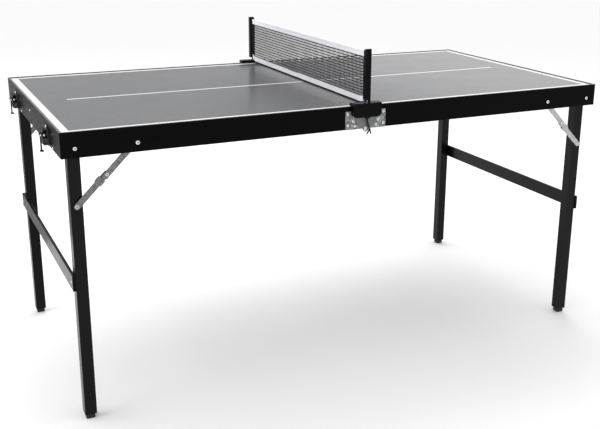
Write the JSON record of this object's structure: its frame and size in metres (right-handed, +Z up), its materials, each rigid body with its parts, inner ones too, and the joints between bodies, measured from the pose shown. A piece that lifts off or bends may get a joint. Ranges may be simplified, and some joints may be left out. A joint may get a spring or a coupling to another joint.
{
  "type": "ping pong table",
  "caption": "Mid-size ping pong table with a grey top in two halves, black rails, folding legs with locking braces, latches and a clip-on net.",
  "frame": {"origin": "on the floor under the middle of the table", "axes": "+X along the length towards the end with the carry handle, +Y across the width, +Z up; the net stands across the middle at x = 0"},
  "size_m": [1.64, 0.8272, 0.911],
  "materials": {
    "playing_board": "semi-gloss grey lacquer with white lines, on fibreboard",
    "black_rail": "semi-gloss black powder coat",
    "black_tube": "semi-gloss black powder coat",
    "galvanised_steel": "zinc plated, with a fine spangle",
    "bright_steel": "bright zinc plated",
    "black_plastic": "satin moulded plastic",
    "foot_plastic": "matt moulded foot",
    "net_twine": "matt knotless twine net",
    "net_tape": "woven binding tape",
    "tension_cord": "braided cord"
  },
  "bodies": {
    "left_half": {"left_board": "playing_board", "left_front_rail": "black_rail", "left_rear_rail": "black_rail", "left_end_rail": "black_rail", "left_seam_rail": "black_rail", "front_left_hinge_leaf": "galvanised_steel", "rear_left_hinge_leaf": "galvanised_steel", "left_front_leg_pivot_pin": "galvanised_steel", "left_rear_leg_pivot_pin": "galvanised_steel", "front_latch_base": "galvanised_steel", "rear_latch_base": "galvanised_steel"},
    "hinge_pins": {"front_hinge_pin": "galvanised_steel", "rear_hinge_pin": "galvanised_steel"},
    "right_half": {"right_board": "playing_board", "right_front_rail": "black_rail", "right_rear_rail": "black_rail", "right_end_rail": "black_rail", "right_seam_rail": "black_rail", "front_right_hinge_leaf": "galvanised_steel", "rear_right_hinge_leaf": "galvanised_steel", "right_front_leg_pivot_pin": "galvanised_steel", "right_rear_leg_pivot_pin": "galvanised_steel", "front_latch_keeper": "galvanised_steel", "rear_latch_keeper": "galvanised_steel", "carry_handle_base": "galvanised_steel"},
    "left_legs": {"left_front_leg": "black_tube", "left_rear_leg": "black_tube", "left_crossbar": "black_tube", "left_front_foot": "foot_plastic", "left_rear_foot": "foot_plastic"},
    "right_legs": {"right_front_leg": "black_tube", "right_rear_leg": "black_tube", "right_crossbar": "black_tube", "right_front_foot": "foot_plastic", "right_rear_foot": "foot_plastic"},
    "left_front_brace_upper_arm": {"left_front_brace_upper_arm": "galvanised_steel"},
    "left_front_brace_lower_arm": {"left_front_brace_lower_arm": "galvanised_steel"},
    "left_front_brace_lock_ring": {"left_front_brace_lock_ring": "bright_steel"},
    "left_rear_brace_upper_arm": {"left_rear_brace_upper_arm": "galvanised_steel"},
    "left_rear_brace_lower_arm": {"left_rear_brace_lower_arm": "galvanised_steel"},
    "left_rear_brace_lock_ring": {"left_rear_brace_lock_ring": "bright_steel"},
    "right_front_brace_upper_arm": {"right_front_brace_upper_arm": "galvanised_steel"},
    "right_front_brace_lower_arm": {"right_front_brace_lower_arm": "galvanised_steel"},
    "right_front_brace_lock_ring": {"right_front_brace_lock_ring": "bright_steel"},
    "right_rear_brace_upper_arm": {"right_rear_brace_upper_arm": "galvanised_steel"},
    "right_rear_brace_lower_arm": {"right_rear_brace_lower_arm": "galvanised_steel"},
    "right_rear_brace_lock_ring": {"right_rear_brace_lock_ring": "bright_steel"},
    "front_latch_lever": {"front_latch_lever": "black_tube"},
    "front_latch_hook": {"front_latch_hook": "black_tube"},
    "rear_latch_lever": {"rear_latch_lever": "black_tube"},
    "rear_latch_hook": {"rear_latch_hook": "black_tube"},
    "carry_handle": {"carry_handle": "black_plastic"},
    "net_posts": {"front_net_post": "black_plastic", "rear_net_post": "black_plastic", "tension_cord": "tension_cord", "tension_cord_knot": "tension_cord"},
    "net": {"net_mesh": "net_twine", "net_top_tape": "net_tape", "net_bottom_tape": "net_tape"}
  },
  "joints": [
    {"name": "fold_first_quarter", "type": "hinge", "parent": "left_half", "child": "hinge_pins", "pos_m": [0, 0, 0.6965], "axis": [0, 1, 0], "range_deg": [0, 90]},
    {"name": "fold_second_quarter", "type": "hinge", "parent": "hinge_pins", "child": "right_half", "pos_m": [0, 0, 0.6965], "axis": [0, 1, 0], "range_deg": [0, 90]},
    {"name": "left_legs_fold", "type": "hinge", "parent": "left_half", "child": "left_legs", "pos_m": [-0.767, 0, 0.72], "axis": [0, -1, 0], "range_deg": [0, 90]},
    {"name": "left_front_brace_upper_arm_pivot", "type": "hinge", "parent": "left_half", "child": "left_front_brace_upper_arm", "pos_m": [-0.619, -0.386, 0.72], "axis": [0, 1, 0], "range_deg": [0, 45]},
    {"name": "left_front_brace_lower_arm_pivot", "type": "hinge", "parent": "left_legs", "child": "left_front_brace_lower_arm", "pos_m": [-0.767, -0.3795, 0.572], "axis": [0, -1, 0], "range_deg": [0, 45]},
    {"name": "left_front_brace_lock_ring_slide", "type": "slide", "parent": "left_front_brace_lower_arm", "child": "left_front_brace_lock_ring", "axis": [-0.7071, 0, -0.7071], "range_m": [0, 0.04]},
    {"name": "left_rear_brace_upper_arm_pivot", "type": "hinge", "parent": "left_half", "child": "left_rear_brace_upper_arm", "pos_m": [-0.619, 0.386, 0.72], "axis": [0, 1, 0], "range_deg": [0, 45]},
    {"name": "left_rear_brace_lower_arm_pivot", "type": "hinge", "parent": "left_legs", "child": "left_rear_brace_lower_arm", "pos_m": [-0.767, 0.3795, 0.572], "axis": [0, -1, 0], "range_deg": [0, 45]},
    {"name": "left_rear_brace_lock_ring_slide", "type": "slide", "parent": "left_rear_brace_lower_arm", "child": "left_rear_brace_lock_ring", "axis": [-0.7071, 0, -0.7071], "range_m": [0, 0.04]},
    {"name": "right_legs_fold", "type": "hinge", "parent": "right_half", "child": "right_legs", "pos_m": [0.767, 0, 0.72], "axis": [0, 1, 0], "range_deg": [0, 90]},
    {"name": "right_front_brace_upper_arm_pivot", "type": "hinge", "parent": "right_half", "child": "right_front_brace_upper_arm", "pos_m": [0.619, -0.386, 0.72], "axis": [0, -1, 0], "range_deg": [0, 45]},
    {"name": "right_front_brace_lower_arm_pivot", "type": "hinge", "parent": "right_legs", "child": "right_front_brace_lower_arm", "pos_m": [0.767, -0.3795, 0.572], "axis": [0, 1, 0], "range_deg": [0, 45]},
    {"name": "right_front_brace_lock_ring_slide", "type": "slide", "parent": "right_front_brace_lower_arm", "child": "right_front_brace_lock_ring", "axis": [0.7071, 0, -0.7071], "range_m": [0, 0.04]},
    {"name": "right_rear_brace_upper_arm_pivot", "type": "hinge", "parent": "right_half", "child": "right_rear_brace_upper_arm", "pos_m": [0.619, 0.386, 0.72], "axis": [0, -1, 0], "range_deg": [0, 45]},
    {"name": "right_rear_brace_lower_arm_pivot", "type": "hinge", "parent": "right_legs", "child": "right_rear_brace_lower_arm", "pos_m": [0.767, 0.3795, 0.572], "axis": [0, 1, 0], "range_deg": [0, 45]},
    {"name": "right_rear_brace_lock_ring_slide", "type": "slide", "parent": "right_rear_brace_lower_arm", "child": "right_rear_brace_lock_ring", "axis": [0.7071, 0, -0.7071], "range_m": [0, 0.04]},
    {"name": "front_latch_lever_pivot", "type": "hinge", "parent": "left_half", "child": "front_latch_lever", "pos_m": [-0.8075, -0.24, 0.704], "axis": [0, -1, 0], "range_deg": [0, 85]},
    {"name": "front_latch_hook_pivot", "type": "hinge", "parent": "front_latch_lever", "child": "front_latch_hook", "pos_m": [-0.8167, -0.24, 0.724], "axis": [0, 1, 0], "range_deg": [0, 90]},
    {"name": "rear_latch_lever_pivot", "type": "hinge", "parent": "left_half", "child": "rear_latch_lever", "pos_m": [-0.8075, 0.24, 0.704], "axis": [0, -1, 0], "range_deg": [0, 85]},
    {"name": "rear_latch_hook_pivot", "type": "hinge", "parent": "rear_latch_lever", "child": "rear_latch_hook", "pos_m": [-0.8167, 0.24, 0.724], "axis": [0, 1, 0], "range_deg": [0, 90]},
    {"name": "carry_handle_pivot", "type": "hinge", "parent": "right_half", "child": "carry_handle", "pos_m": [0.812, 0, 0.728], "axis": [0, -1, 0], "range_deg": [0, 120]},
    {"name": "net_posts_lift", "type": "slide", "parent": "left_half", "child": "net_posts", "axis": [0, 0, 1], "range_m": [0, 0.12]},
    {"name": "net_lift", "type": "slide", "parent": "net_posts", "child": "net", "axis": [0, 0, 1], "range_m": [0, 0.16]}
  ],
  "couplings": [
    {"joint": "left_front_brace_upper_arm_pivot", "follows": "left_legs_fold", "ratio": 0.5},
    {"joint": "left_front_brace_lower_arm_pivot", "follows": "left_legs_fold", "ratio": 0.5},
    {"joint": "left_rear_brace_upper_arm_pivot", "follows": "left_legs_fold", "ratio": 0.5},
    {"joint": "left_rear_brace_lower_arm_pivot", "follows": "left_legs_fold", "ratio": 0.5},
    {"joint": "right_front_brace_upper_arm_pivot", "follows": "right_legs_fold", "ratio": 0.5},
    {"joint": "right_front_brace_lower_arm_pivot", "follows": "right_legs_fold", "ratio": 0.5},
    {"joint": "right_rear_brace_upper_arm_pivot", "follows": "right_legs_fold", "ratio": 0.5},
    {"joint": "right_rear_brace_lower_arm_pivot", "follows": "right_legs_fold", "ratio": 0.5}
  ]
}
